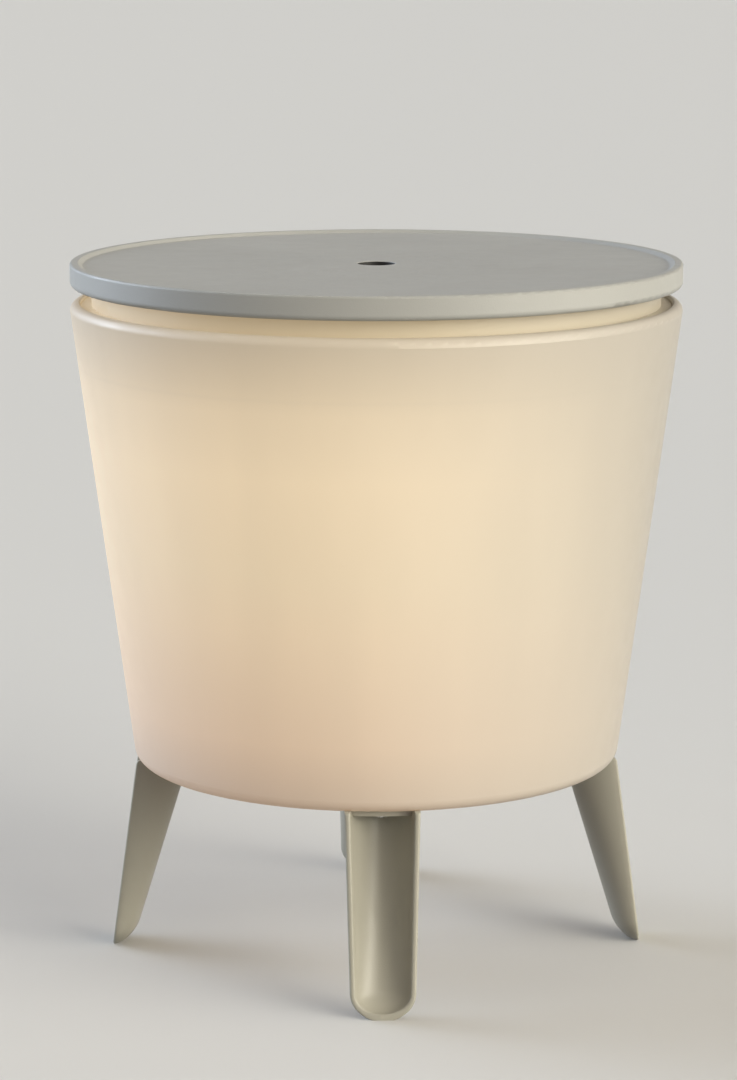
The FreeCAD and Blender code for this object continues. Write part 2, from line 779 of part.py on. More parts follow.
def leg():
    leg_top = body_bottom + shell_corner
    plate_under = body_bottom - leg_plate
    outside = scoop(leg_top, 0.0)
    cap = outside.common(block(V(0, -leg_top_radius, plate_under),
                               V(2 * leg_top_radius, leg_top_radius, leg_top)))
    tongue = block(V(tongue_centre, -tongue_half_width, plate_under),
                   V(leg_top_radius - leg_top_depth / 2, tongue_half_width, body_bottom))
    tongue = tongue.fuse(disc(tongue_half_width, plate_under, body_bottom, tongue_centre))
    cavity = scoop(leg_top, leg_wall)
    body = outside.cut(cavity).fuse([cap, tongue])
    body = body.cut(body_envelope())
    body = body.fuse(tenon(0.0, plate_under, body_bottom + tenon_height))
    cuts = [space_beyond_leg(leg_top)]
    for radius in (leg_screw_inner, leg_screw_outer):
        cuts.append(screw_hole(leg_screw, V(radius, 0, plate_under), UP, leg_plate))
    return body.cut(cuts).removeSplitter()


def leg_screws():
    screws = []
    for i in range(4):
        for radius in (leg_screw_inner, leg_screw_outer):
            screws.append(spun(screw(leg_screw, V(radius, 0, body_bottom - leg_plate), UP), 90.0 * i))
    return Part.makeCompound(screws)


# Drain

def drain_spout():
    low = sump_level + drain_seal_thickness
    end = body_bottom - spout_end_drop
    profile = [(spout_bore, end, fine_rounding), (spout_radius, end, edge_rounding), (spout_radius, low)]
    profile += [(spout_flange_radius, low), (spout_flange_radius, low + spout_flange, edge_rounding)]
    profile += [(spout_bore, low + spout_flange, edge_rounding)]
    spout = turned(profile)
    spout.translate(V(*drain_place(), 0))
    return spout


def drain_seal():
    return ring(spout_flange_radius, spout_radius + seat_gap, sump_level, sump_level + drain_seal_thickness,
                *drain_place())


def drain_nut():
    corner = drain_nut_flats / 2 / math.cos(math.radians(30))
    points = [V(x, y, body_bottom - drain_nut_height) for x, y in spots(corner, 6)]
    hexagon = Part.Face(Part.makePolygon(points + points[:1])).extrude(V(0, 0, drain_nut_height))
    hexagon.translate(V(*drain_place(), 0))
    bore = disc(spout_radius + screw_gap, body_bottom - drain_nut_height, body_bottom, *drain_place())
    return hexagon.cut(bore)


def drain_plug():
    top = body_bottom - spout_end_drop - slide_gap
    shank = spout_bore - slide_gap
    groove_floor = shank - 2 * plug_ring_section
    groove_low = top + plug_ring_rise - plug_ring_section
    groove_high = top + plug_ring_rise + plug_ring_section
    knob_under = top - plug_knob_height
    hollow = shank - liner_wall
    profile = [(hollow, knob_under, fine_rounding), (plug_knob_radius, knob_under, soft_rounding)]
    profile += [(plug_knob_radius, top, soft_rounding), (shank, top), (shank, groove_low)]
    profile += [(groove_floor, groove_low), (groove_floor, groove_high), (shank, groove_high)]
    profile += [(shank, top + plug_length, soft_rounding), (0, top + plug_length)]
    profile += [(0, top), (hollow, top)]
    plug = turned(profile)
    cuts = []
    for x, y in spots(plug_knob_radius + plug_scallop_radius / 2, plug_scallop_count):
        cuts.append(disc(plug_scallop_radius, knob_under, top, x, y))
    plug = plug.cut(cuts)
    plug.translate(V(*drain_place(), 0))
    return plug


def plug_ring():
    top = body_bottom - spout_end_drop - slide_gap
    middle = spout_bore - slide_gap - plug_ring_section
    rubber = Part.makeTorus(middle, plug_ring_section, V(0, 0, top + plug_ring_rise))
    rubber.translate(V(*drain_place(), 0))
    return rubber


# Lamp module

def light_housing():
    inner = lamp_radius - lamp_wall
    profile = [(0, lamp_under), (lamp_flange_radius, lamp_under, soft_rounding)]
    profile += [(lamp_flange_radius, lamp_seal_under), (lamp_radius, lamp_seal_under)]
    profile += [(lamp_radius, lamp_top), (inner, lamp_top), (inner, lamp_seal_under, edge_rounding)]
    profile += [(0, lamp_seal_under)]
    housing = turned(profile)
    into_floor = lamp_seal_under - joining_depth
    extras = []
    holes = []
    for x, y in diagonals(board_post_circle):
        extras.append(disc(board_post_radius, into_floor, board_level, x, y))
        holes.append(screw_hole(board_screw, V(x, y, board_top), V(0, 0, -1), board_screw[3] + hole_spare))
    sleeve = button_radius + button_rim + slide_gap
    sleeve_top = lamp_seal_under + sleeve_height
    extras.append(ring(sleeve + sleeve_wall, sleeve, into_floor, sleeve_top, -button_offset))
    holes.append(disc(button_radius + slide_gap, lamp_under, lamp_seal_under, -button_offset))
    holes.append(disc(cap_hole_radius, lamp_under, lamp_seal_under, jack_offset))
    for x, y in diagonals(lamp_screw_circle):
        holes.append(screw_hole(lamp_screw, V(x, y, lamp_under), UP, lamp_flange))
    for side in (-1, 1):
        y = side * bracket_screw_place
        extras.append(disc(board_post_radius, into_floor, bracket_low, 0, y))
        top = V(0, y, bracket_low + bracket_sheet)
        holes.append(screw_hole(bracket_screw, top, V(0, 0, -1), bracket_screw[3] + joining_depth))
    extras += cap_lugs()
    holes.append(hinge_rod(pin_fit))
    return housing.fuse(extras).cut(holes).removeSplitter()


def hinge_rod(fit):
    """The cap's hinge pin, or the bore for it when there is a fit round it."""
    start = V(hinge_x, -hinge_half, hinge_level)
    return Part.makeCylinder(cap_pin_radius + fit, 2 * hinge_half, start, V(0, 1, 0))


def cap_lugs():
    lugs = []
    for start in (-hinge_half, hinge_half - cap_lug_width):
        eye = Part.makeCylinder(cap_barrel_radius, cap_lug_width, V(hinge_x, start, hinge_level), V(0, 1, 0))
        neck = block(V(hinge_x - cap_barrel_radius, start, hinge_level),
                     V(hinge_x + cap_barrel_radius, start + cap_lug_width, lamp_under + joining_depth))
        lugs.append(eye.fuse(neck))
    return lugs


def cap_pin():
    return hinge_rod(0.0)


def socket_cap():
    top = lamp_under - seat_gap
    low = top - cap_thickness
    stub_top = top + cap_stub_height
    profile = [(0, low), (cap_radius, low, fine_rounding), (cap_radius, top, fine_rounding)]
    profile += [(cap_stub_radius, top), (cap_stub_tip, stub_top, fine_rounding), (0, stub_top)]
    stub = turned(profile)
    stub.translate(V(jack_offset, 0, 0))
    half = cap_barrel_length / 2
    strap = block(V(jack_offset + cap_radius / 2, -half, low), V(hinge_x, half, top))
    barrel = Part.makeCylinder(cap_barrel_radius, 2 * half, V(hinge_x, -half, hinge_level), V(0, 1, 0))
    return stub.fuse([strap, barrel]).cut(hinge_rod(hinge_fit)).removeSplitter()


def light_seal():
    seal = ring(lamp_flange_radius, lamp_radius + seat_gap, lamp_seal_under, body_bottom)
    holes = []
    for x, y in diagonals(lamp_screw_circle):
        holes.append(screw_hole(lamp_screw, V(x, y, lamp_seal_under), UP, lamp_seal_thickness))
    return seal.cut(holes)


def light_screws():
    places = diagonals(lamp_screw_circle)
    return Part.makeCompound([screw(lamp_screw, V(x, y, lamp_under), UP) for x, y in places])


def light_diffuser():
    path = [(lamp_radius, lamp_top), (lamp_radius, lamp_top + diffuser_side, diffuser_corner)]
    path += [(0, lamp_top + diffuser_side + diffuser_rise)]
    dome = turned(wall(path, diffuser_wall))
    lip_outer = lamp_radius - lamp_wall - seat_gap
    lip_inner = lip_outer - diffuser_wall
    ledge_top = lamp_top + diffuser_ledge
    lip = ring(lip_outer, lip_inner, lamp_top - diffuser_lip, ledge_top)
    ledge = ring(lamp_radius - joining_depth, lip_inner, lamp_top, ledge_top)
    return dome.fuse([lip, ledge]).removeSplitter()


def led_board():
    board = disc(board_radius, board_level, board_top)
    holes = []
    for x, y in diagonals(board_post_circle):
        holes.append(screw_hole(board_screw, V(x, y, board_top), V(0, 0, -1), board_thickness))
    return board.cut(holes)


def board_screws():
    places = diagonals(board_post_circle)
    return Part.makeCompound([screw(board_screw, V(x, y, board_top), V(0, 0, -1)) for x, y in places])


def leds():
    lamps = []
    for radius, count in ((led_outer_circle, led_outer_count), (led_inner_circle, led_inner_count)):
        chip = block(V(radius - led_size / 2, -led_size / 2, board_top),
                     V(radius + led_size / 2, led_size / 2, board_top + led_height))
        for i in range(count):
            lamps.append(spun(chip, 360.0 * i / count))
    return Part.makeCompound(lamps)


def battery_pack():
    low = battery_low
    high = battery_low + battery_height
    half = battery_width / 2
    corner = (battery_height - battery_side_flat) / 2
    section = [(-half, low, corner), (half, low, corner), (half, high, corner), (-half, high, corner)]
    pack = Part.Face(outline(section)).extrude(V(0, battery_length, 0))
    pack.translate(V(0, -battery_length / 2, 0))
    return spun(pack, 90.0)


def battery_bracket():
    inside_top = battery_low + battery_height + seat_gap
    inside = battery_width / 2 + seat_gap
    end = battery_width / 2 + bracket_sheet + bracket_foot
    path = [(-end, bracket_low), (-inside, bracket_low, edge_rounding)]
    path += [(-inside, inside_top, bracket_shoulder), (inside, inside_top, bracket_shoulder)]
    path += [(inside, bracket_low, edge_rounding), (end, bracket_low)]
    strap = Part.Face(outline(wall(path, bracket_sheet))).extrude(V(0, bracket_width, 0))
    strap.translate(V(0, -bracket_width / 2, 0))
    strap = spun(strap, 90.0)
    holes = []
    for side in (-1, 1):
        top = V(0, side * bracket_screw_place, bracket_low + bracket_sheet)
        holes.append(screw_hole(bracket_screw, top, V(0, 0, -1), bracket_sheet))
    return strap.cut(holes)


def bracket_screws():
    screws = []
    for side in (-1, 1):
        top = V(0, side * bracket_screw_place, bracket_low + bracket_sheet)
        screws.append(screw(bracket_screw, top, V(0, 0, -1)))
    return Part.makeCompound(screws)


def battery_leads():
    """Two wires that leave the end of the battery and turn up to the board."""
    wires = []
    level = battery_low + battery_height / 2
    start = battery_length / 2
    bend_start = start + wire_reach - wire_bend
    for side in (-1, 1):
        y = side * battery_width / 4
        points = [V(start, y, level), V(bend_start, y, level)]
        middle = V(bend_start + wire_bend * math.sin(math.pi / 4), y,
                   level + wire_bend * (1 - math.cos(math.pi / 4)))
        points += [V(start + wire_reach, y, level + wire_bend), V(start + wire_reach, y, board_level)]
        edges = [Part.makeLine(points[0], points[1]), Part.Arc(points[1], middle, points[2]).toShape()]
        edges.append(Part.makeLine(points[2], points[3]))
        section = Part.Wire(Part.makeCircle(wire_radius, points[0], V(1, 0, 0)))
        wires.append(Part.Wire(edges).makePipeShell([section], True, False))
    return Part.makeCompound(wires)


def power_button():
    low = lamp_under - button_stand_out
    shelf = lamp_seal_under + seat_gap
    rim_top = shelf + button_rim_height
    stem_top = board_level - switch_height - switch_plunger - button_travel - slide_gap
    profile = [(0, low), (button_radius, low, edge_rounding), (button_radius, shelf)]
    profile += [(button_radius + button_rim, shelf), (button_radius + button_rim, rim_top)]
    profile += [(button_stem_radius, rim_top), (button_stem_radius, stem_top, fine_rounding)]
    profile += [(0, stem_top)]
    button = turned(profile)
    button.translate(V(-button_offset, 0, 0))
    return button


def button_switch():
    low = board_level - switch_height
    half = switch_size / 2
    body = block(V(-button_offset - half, -half, low), V(-button_offset + half, half, board_level))
    plunger = disc(switch_plunger_radius, low - switch_plunger, low + joining_depth, -button_offset)
    return body.fuse(plunger)


def charge_socket():
    low = lamp_seal_under
    half_width = jack_width / 2
    body = block(V(jack_offset - jack_length / 2, -half_width, low),
                 V(jack_offset + jack_length / 2, half_width, low + jack_height))
    bore_end = low + jack_height - jack_back
    bore = disc(jack_bore, low, bore_end, jack_offset)
    pin_tip = low + cap_stub_height + jack_pin_gap
    pin = disc(jack_pin_radius, pin_tip, bore_end + joining_depth, jack_offset)
    return body.cut(bore).fuse(pin)


# Build every piece and write one file for each

pieces = {
    "outer_shell": outer_shell(),
    "ice_bucket": ice_bucket(),
    "leg_screws": leg_screws(),
    "outer_column": outer_column(),
    "column_foot_screws": column_foot_screws(),
    "column_collar": column_collar(),
    "collar_screws": collar_screws(),
    "column_wiper": column_wiper(),
    "drain_spout": drain_spout(),
    "drain_seal": drain_seal(),
    "drain_nut": drain_nut(),
    "light_housing": light_housing(),
    "light_seal": light_seal(),
    "light_screws": light_screws(),
    "light_diffuser": light_diffuser(),
    "led_board": led_board(),
    "leds": leds(),
    "board_screws": board_screws(),
    "battery_pack": battery_pack(),
    "battery_bracket": battery_bracket(),
    "bracket_screws": bracket_screws(),
    "battery_leads": battery_leads(),
    "charge_socket": charge_socket(),
    "cap_pin": cap_pin(),
    "button_switch": button_switch(),
    "guide_bush": guide_bush(),
    "table_top": table_top(),
    "table_underside": table_underside(),
    "table_screws": table_screws(),
    "grip_cup": grip_cup(),
    "lift_column": lift_column(),
    "column_head_screws": column_head_screws(),
    "lock_ring": lock_ring(),
    "lock_pin": lock_pin(),
    "drain_plug": drain_plug(),
    "plug_ring": plug_ring(),
    "power_button": power_button(),
    "socket_cap": socket_cap(),
}
one_leg = leg()
for name, angle in (("leg_right", 0.0), ("leg_back", 90.0), ("leg_left", 180.0), ("leg_front", 270.0)):
    pieces[name] = spun(one_leg, angle)

os.makedirs("parts", exist_ok=True)
for name, shape in pieces.items():
    shape.exportStep("parts/" + name + ".step")
print("lift travel", round(lift_travel, 3), "pieces", len(pieces))
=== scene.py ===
import json
import math

import bmesh
import bpy
import numpy as np
from mathutils import Matrix, Vector


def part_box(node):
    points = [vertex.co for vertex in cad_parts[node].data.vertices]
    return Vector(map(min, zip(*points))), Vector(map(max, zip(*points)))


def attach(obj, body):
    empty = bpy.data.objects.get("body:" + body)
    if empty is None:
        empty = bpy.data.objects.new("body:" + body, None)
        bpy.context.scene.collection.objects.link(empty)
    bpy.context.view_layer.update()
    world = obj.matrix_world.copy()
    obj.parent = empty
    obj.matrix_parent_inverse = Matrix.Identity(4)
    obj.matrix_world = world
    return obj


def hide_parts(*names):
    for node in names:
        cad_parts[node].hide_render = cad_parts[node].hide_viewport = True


# The looks of an ice bucket coffee table: a lit, translucent bucket body on four legs, under a
# round table top that lifts and twists. Metres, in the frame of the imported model.

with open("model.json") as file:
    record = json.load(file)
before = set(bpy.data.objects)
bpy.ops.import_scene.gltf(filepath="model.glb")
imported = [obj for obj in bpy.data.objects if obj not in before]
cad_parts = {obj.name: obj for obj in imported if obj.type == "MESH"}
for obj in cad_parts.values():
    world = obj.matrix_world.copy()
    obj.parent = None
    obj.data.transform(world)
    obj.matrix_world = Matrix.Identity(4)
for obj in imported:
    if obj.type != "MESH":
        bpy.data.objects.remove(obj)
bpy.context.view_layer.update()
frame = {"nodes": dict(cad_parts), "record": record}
nodes = frame["nodes"]

# Levels that the finishes follow, taken from the frame
body_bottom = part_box("outer_shell")[0].z
shoulder_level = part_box("outer_shell")[1].z

# The photograph's viewpoint
camera_distance = 2.954
camera_height = 0.895
camera_pitch = 10.65
camera_turn = -1.45
camera_aim = 0.123
camera_lens = 122.1
camera_sensor = 36.0

# Light
world_level = 0.34
world_colour = (1.0, 0.93, 0.87)
warm_light = (1.0, 0.95, 0.82)
cool_light = (0.75, 0.86, 1.0)
sun_spread = 40
sun_distance = 3
floor_reach = 60.0
floor_colour = (0.70, 0.70, 0.69)
bounce_colour = (0.22, 0.21, 0.20)

# Painted glow of the body, an emission in its colour in place of the lamp's light through the wall:
# the painted shade by which it falls to the sides and to the right at its reach from the middle, its
# hues low and high, its brightness at shares of the body's height, and the painted shadow line over
# the liner's step. The colours are divided by the strength that the shader multiplies them with.
glow_reach = 0.235
glow_strength = 2.0
painted_glow_lean = -0.6
painted_glow_side_fade = -0.55
glow_low_hue = (1.0, 0.60, 0.34)
glow_high_hue = (1.0, 0.74, 0.42)
painted_glow_profile = ((0.00, 0.19), (0.14, 0.33), (0.38, 0.41), (0.70, 0.46), (0.84, 0.40), (0.89, 0.33),
                (1.00, 0.20))
painted_step_shadow_level = 0.868
painted_step_shadow_width = 0.006
painted_step_shadow_factor = 0.96
side_stops = 9


# Small helpers for meshes. Faces that meet at less than the smoothing angle, in degrees, are shaded
# smooth.

screw_smoothing = 35
moulding_smoothing = 38


def mesh_object(name, bm, smooth_angle=None):
    """Object made from a bmesh; faces that meet at less than the angle are shaded smooth."""
    mesh = bpy.data.meshes.new(name)
    bm.to_mesh(mesh)
    bm.free()
    obj = bpy.data.objects.new(name, mesh)
    bpy.context.scene.collection.objects.link(obj)
    if smooth_angle is not None:
        mesh.polygons.foreach_set("use_smooth", [True] * len(mesh.polygons))
        mesh.set_sharp_from_angle(angle=math.radians(smooth_angle))
    return obj


def lathe(profile, segments):
    """Closed solid of revolution about Z; the profile runs from the axis to the axis."""
    bm = bmesh.new()
    rings = []
    for radius, height in profile:
        if radius == 0:
            rings.append([bm.verts.new((0, 0, height))])
            continue
        ring = []
        for i in range(segments):
            angle = 2 * math.pi * i / segments
            ring.append(bm.verts.new((radius * math.cos(angle), radius * math.sin(angle), height)))
        rings.append(ring)
    for lower, upper in zip(rings, rings[1:]):
        for i in range(segments):
            j = (i + 1) % segments
            corners = [lower[i % len(lower)], lower[j % len(lower)]]
            corners += [upper[j % len(upper)], upper[i % len(upper)]]
            bm.faces.new(list(dict.fromkeys(corners)))
    bmesh.ops.recalc_face_normals(bm, faces=bm.faces)
    return bm


# Node materials

class Finish:
    """A material being built round its Principled shader, in the object's own coordinates."""

    def __init__(self, name, colour, roughness, metallic=0.0):
        self.material = bpy.data.materials.new(name)
        self.material.use_nodes = True
        self.tree = self.material.node_tree
        self.shader = self.tree.nodes["Principled BSDF"]
        self.colour = colour
        self.shader.inputs["Base Color"].default_value = (*colour, 1)
        self.shader.inputs["Roughness"].default_value = roughness
        self.shader.inputs["Metallic"].default_value = metallic
        self.place = self.tree.nodes.new("ShaderNodeTexCoord").outputs["Object"]

    def link(self, output, target):
        self.tree.links.new(output, target)

    def set(self, socket, value):
        self.shader.inputs[socket].default_value = value

    def noise(self, scale, detail=3.0, stretch=(1, 1, 1)):
        """Noise from 0 to 1, with so many features per metre along each axis."""
        mapping = self.tree.nodes.new("ShaderNodeMapping")
        mapping.inputs["Scale"].default_value = stretch
        self.link(self.place, mapping.inputs["Vector"])
        texture = self.tree.nodes.new("ShaderNodeTexNoise")
        texture.inputs["Scale"].default_value = scale
        texture.inputs["Detail"].default_value = detail
        self.link(mapping.outputs["Vector"], texture.inputs["Vector"])
        return texture.outputs["Fac"]

    def cells(self, scale):
        """Distance to the middle of the nearest cell, for a leathery moulded grain."""
        texture = self.tree.nodes.new("ShaderNodeTexVoronoi")
        texture.inputs["Scale"].default_value = scale
        self.link(self.place, texture.inputs["Vector"])
        return texture.outputs["Distance"]

    def along(self, axis):
        split = self.tree.nodes.new("ShaderNodeSeparateXYZ")
        self.link(self.place, split.inputs["Vector"])
        return split.outputs[axis]

    def spread(self, value, low, high, to_low=0.0, to_high=1.0):
        """The value's range from low to high, stretched to another range and kept inside it."""
        node = self.tree.nodes.new("ShaderNodeMapRange")
        numbers = {"From Min": low, "From Max": high, "To Min": to_low, "To Max": to_high}
        for socket, number in numbers.items():
            node.inputs[socket].default_value = number
        self.link(value, node.inputs["Value"])
        return node.outputs["Result"]

    def ramp(self, value, stops):
        """Colours by value, in straight steps between (place, colour) stops."""
        node = self.tree.nodes.new("ShaderNodeValToRGB")
        band = node.color_ramp
        band.interpolation = "LINEAR"
        while len(band.elements) < len(stops):
            band.elements.new(0.5)
        for element, (place, colour) in zip(band.elements, stops):
            element.position = place
            element.color = (*colour, 1)
        self.link(value, node.inputs["Fac"])
        return node.outputs["Color"]

    def calculate(self, kind, first, second):
        node = self.tree.nodes.new("ShaderNodeMath")
        node.operation = kind
        for socket, value in zip(node.inputs, (first, second)):
            if isinstance(value, (int, float)):
                socket.default_value = value
            else:
                self.link(value, socket)
        return node.outputs["Value"]

    def shade(self, colour, amount):
        """A colour made lighter or darker by an amount that varies round 1."""
        node = self.tree.nodes.new("ShaderNodeVectorMath")
        node.operation = "SCALE"
        if isinstance(colour, tuple):
            node.inputs[0].default_value = colour
        else:
            self.link(colour, node.inputs[0])
        self.link(amount, node.inputs["Scale"])
        return node.outputs["Vector"]

    def product(self, first, second):
        node = self.tree.nodes.new("ShaderNodeVectorMath")
        node.operation = "MULTIPLY"
        self.link(first, node.inputs[0])
        self.link(second, node.inputs[1])
        return node.outputs["Vector"]

    def mottle(self, scale, depth, stretch=(1, 1, 1)):
        """Cloudy variation of the base colour."""
        cloud = self.noise(scale, detail=2.0, stretch=stretch)
        cloud = self.spread(cloud, low=0.3, high=0.7, to_low=1 - depth, to_high=1 + depth)
        self.link(self.shade(self.colour, cloud), self.shader.inputs["Base Color"])

    def polish(self, scale, low, high, stretch=(1, 1, 1)):
        """Roughness that wanders between two values."""
        rough = self.noise(scale, detail=4.0, stretch=stretch)
        rough = self.spread(rough, low=0.35, high=0.65, to_low=low, to_high=high)
        self.link(rough, self.shader.inputs["Roughness"])

    def bump(self, value, depth):
        """Relief that follows the value, of a depth in metres."""
        node = self.tree.nodes.new("ShaderNodeBump")
        node.inputs["Strength"].default_value = 1.0
        node.inputs["Distance"].default_value = depth
        self.link(value, node.inputs["Height"])
        self.link(node.outputs["Normal"], self.shader.inputs["Normal"])


def moulded_plastic(name, colour, roughness, grain=0.00004, mottling=0.03):
    """Satin moulded plastic with a fine grain and a slightly cloudy colour."""
    finish = Finish(name, colour, roughness)
    finish.mottle(scale=9.0, depth=mottling)
    finish.polish(scale=55.0, low=roughness - 0.05, high=roughness + 0.06)
    finish.bump(finish.cells(scale=900.0), depth=grain)
    return finish.material


def table_plastic():
    finish = Finish("table_plastic", colour=(0.42, 0.423, 0.405), roughness=0.46)
    finish.mottle(scale=7.0, depth=0.035)
    finish.polish(scale=30.0, low=0.40, high=0.52)
    grain = finish.calculate("ADD", finish.cells(scale=1100.0), finish.noise(scale=420.0, detail=2.0))
    finish.bump(grain, depth=0.00005)
    return finish.material


def painted_glow_shell_plastic():
    """Translucent body with a glow painted into its colour in place of the lamp's light through it:
    brightest above the middle, with painted shade towards the sides and the right, and a painted shadow
    line over the liner's step.
    """
    finish = Finish("painted_glow_shell_plastic", colour=(0.46, 0.43, 0.385), roughness=0.42)
    level = finish.spread(finish.along("Z"), body_bottom, shoulder_level)
    # Painted light: the glow's brightness by height, an emission in place of the lamp's light through the
    # wall
    brightness = finish.ramp(level, [(place, (value,) * 3) for place, value in painted_glow_profile])
    hue = finish.ramp(level, [(0.0, glow_low_hue), (0.5, glow_high_hue)])
    # Painted shadow: a faint darker line over the liner's step
    line = finish.ramp(level, [(painted_step_shadow_level - painted_step_shadow_width, (1.0, 1.0, 1.0)),
                               (painted_step_shadow_level, (painted_step_shadow_factor,) * 3),
                               (painted_step_shadow_level + painted_step_shadow_width, (1.0, 1.0, 1.0))])
    glow = finish.product(finish.product(brightness, hue), line)
    # Painted shade: the glow falls towards both sides, and more towards the right
    across = finish.spread(finish.along("X"), -glow_reach, glow_reach)
    stops = []
    for i in range(side_stops):
        place = i / (side_stops - 1)
        share = 2 * place - 1
        side_level = (1 + painted_glow_lean * share + painted_glow_side_fade * share ** 2) / glow_strength
        stops.append((place, (side_level,) * 3))
    sides = finish.ramp(across, stops)
    cloud = finish.noise(scale=5.0, detail=2.0, stretch=(3.2, 3.2, 0.5))
    streaks = finish.spread(cloud, low=0.3, high=0.7, to_low=0.965, to_high=1.035)
    finish.link(finish.shade(finish.product(glow, sides), streaks), finish.shader.inputs["Emission Color"])
    finish.set("Emission Strength", glow_strength)
    finish.mottle(scale=6.0, depth=0.02, stretch=(2.5, 2.5, 0.6))
    finish.polish(scale=40.0, low=0.38, high=0.48)
    finish.bump(finish.noise(scale=260.0, detail=2.0), depth=0.00003)
    return finish.material


def painted_glow_liner_plastic():
    """Translucent liner with a glow painted into its colour in place of the light from below: strong on its
    left, fading to nearly none on its right, like the body's painted shade.
    """
    finish = Finish("painted_glow_liner_plastic", colour=(0.45, 0.415, 0.345), roughness=0.36)
    across = finish.spread(finish.along("X"), -glow_reach, glow_reach)
    # Painted light and shade: the glow painted across the liner, bright on the left, nearly none on the
    # right
    glow = finish.ramp(across, [(0.0, (0.30, 0.22, 0.125)), (0.6, (0.20, 0.15, 0.08)),
                                (1.0, (0.04, 0.03, 0.018))])
    finish.link(glow, finish.shader.inputs["Emission Color"])
    finish.set("Emission Strength", 1.0)
    finish.polish(scale=35.0, low=0.32, high=0.42)
    finish.bump(finish.noise(scale=240.0, detail=2.0), depth=0.00003)
    return finish.material


def leg_plastic():
    finish = Finish("leg_plastic_satin", colour=(0.40, 0.385, 0.325), roughness=0.40)
    finish.mottle(scale=14.0, depth=0.03)
    finish.polish(scale=45.0, low=0.34, high=0.46)
    finish.bump(finish.cells(scale=1000.0), depth=0.00004)
    return finish.material


def brushed_metal(name, colour, roughness):
    finish = Finish(name, colour, roughness, metallic=1.0)
    finish.polish(scale=900.0, low=roughness - 0.08, high=roughness + 0.10, stretch=(1, 1, 0.08))
    finish.bump(finish.noise(scale=1500.0, detail=2.0, stretch=(1, 1, 0.1)), depth=0.00001)
    return finish.material


def soft_rubber():
    finish = Finish("soft_rubber", colour=(0.035, 0.035, 0.036), roughness=0.62)
    finish.polish(scale=120.0, low=0.55, high=0.72)
    finish.bump(finish.noise(scale=1400.0, detail=3.0), depth=0.00003)
    return finish.material


def glowing(name, colour, light, roughness):
    """Lit plastic, with a slightly cloudy light of its own."""
    finish = Finish(name, colour, roughness)
    finish.polish(scale=60.0, low=roughness - 0.05, high=roughness + 0.05)
    cloud = finish.spread(finish.noise(scale=60.0), low=0.3, high=0.7, to_low=0.93, to_high=1.05)
    finish.link(finish.shade(light, cloud), finish.shader.inputs["Emission Color"])
    finish.set("Emission Strength", 1.0)
    return finish.material


finishes = {
    "top_plastic": table_plastic(),
    "shell_plastic": painted_glow_shell_plastic(),
    "liner_plastic": painted_glow_liner_plastic(),
    "leg_plastic": leg_plastic(),
    "column_plastic": moulded_plastic("column_plastic_satin", (0.60, 0.60, 0.58), 0.36),
    "dark_plastic": moulded_plastic("dark_plastic_matt", (0.022, 0.022, 0.022), 0.55),
    "fitting_plastic": moulded_plastic("fitting_plastic_satin", (0.27, 0.28, 0.285), 0.40),
    "lamp_plastic": moulded_plastic("lamp_plastic_satin", (0.66, 0.66, 0.64), 0.40),
    "diffuser_plastic": glowing("opal_diffuser", (0.80, 0.78, 0.72), (0.75, 0.60, 0.40), 0.30),
    "board": moulded_plastic("board_mask", (0.74, 0.75, 0.72), 0.28, grain=0.00001),
    "led": glowing("led_lens", (0.85, 0.75, 0.50), (0.95, 0.80, 0.52), 0.20),
    "battery_wrap": moulded_plastic("battery_wrap_gloss", (0.07, 0.16, 0.34), 0.22, grain=0.00001),
    "wire": moulded_plastic("wire_insulation", (0.48, 0.04, 0.03), 0.42, grain=0.00001),
    "rubber": soft_rubber(),
    "screw_steel": brushed_metal("stainless_steel", (0.58, 0.58, 0.59), 0.28),
    "bracket_steel": brushed_metal("plated_steel", (0.66, 0.67, 0.68), 0.36),
    "button_plastic": moulded_plastic("button_soft_touch", (0.09, 0.09, 0.09), 0.60),
}

slot_of = {part["node"]: part["material_slot"] for part in frame["record"]["subparts"]}
for name, obj in nodes.items():
    for place in range(len(obj.material_slots)):
        obj.material_slots[place].material = finishes[slot_of[name]]


# Screws with a cross recess, in place of the plain ones of the frame. Their values are two counts,
# and shares of the head's radius or height, the shank's radius or the thread's pitch.

crown_steps = 6
crown_flat = 0.55
crown_drop = 0.75
neck_share = 0.86
thread_root = 0.80
thread_pitch = 0.55
thread_start = 0.5
thread_crest_at = 0.45
thread_end_at = 0.9
tip_share = 0.6
screw_sides = 28
recess_length = 1.1
recess_width = 0.24
recess_depth = 1.1

# How the plain screws are measured, in metres and decimals of a metre, and how far each recess is
# turned from the next, in radians for each point made before it
head_margin = 0.0001
seat_margin = 0.0005
point_decimals = 7
recess_turn = 2.4


def solids_of(node):
    """Points of each separate solid in a node of the frame."""
    mesh = nodes[node].data
    points = np.array([v.co for v in mesh.vertices])
    places, owner = np.unique(np.round(points, point_decimals), axis=0, return_inverse=True)
    group = list(range(len(places)))

    def leader(i):
        while group[i] != i:
            group[i] = group[group[i]]
            i = group[i]
        return i

    for polygon in mesh.polygons:
        first, *others = [leader(owner[v]) for v in polygon.vertices]
        for other in others:
            group[leader(other)] = leader(first)
    leaders = np.array([leader(i) for i in range(len(places))])
    return [places[leaders == chief] for chief in np.unique(leaders)]


def screw_axis(points):
    """Middle of a screw's head seat, direction of its shank, and its measures.

    They are the head's radius and height, and the shank's radius and length.
    """
    centre = points.mean(axis=0)
    spread = np.linalg.svd(points - centre, full_matrices=False)[2]
    direction = spread[0]
    along = (points - centre) @ direction
    across = np.linalg.norm(points - centre - np.outer(along, direction), axis=1)
    widest = along[across > across.max() - head_margin]
    if widest.mean() > 0:
        direction = -direction
        along = -along
        widest = -widest
    head = across.max()
    seat = widest.max()
    shank_side = along > seat + seat_margin
    shank = across[shank_side].max()
    return centre + direction * seat, direction, head, seat - along.min(), shank, along.max() - seat


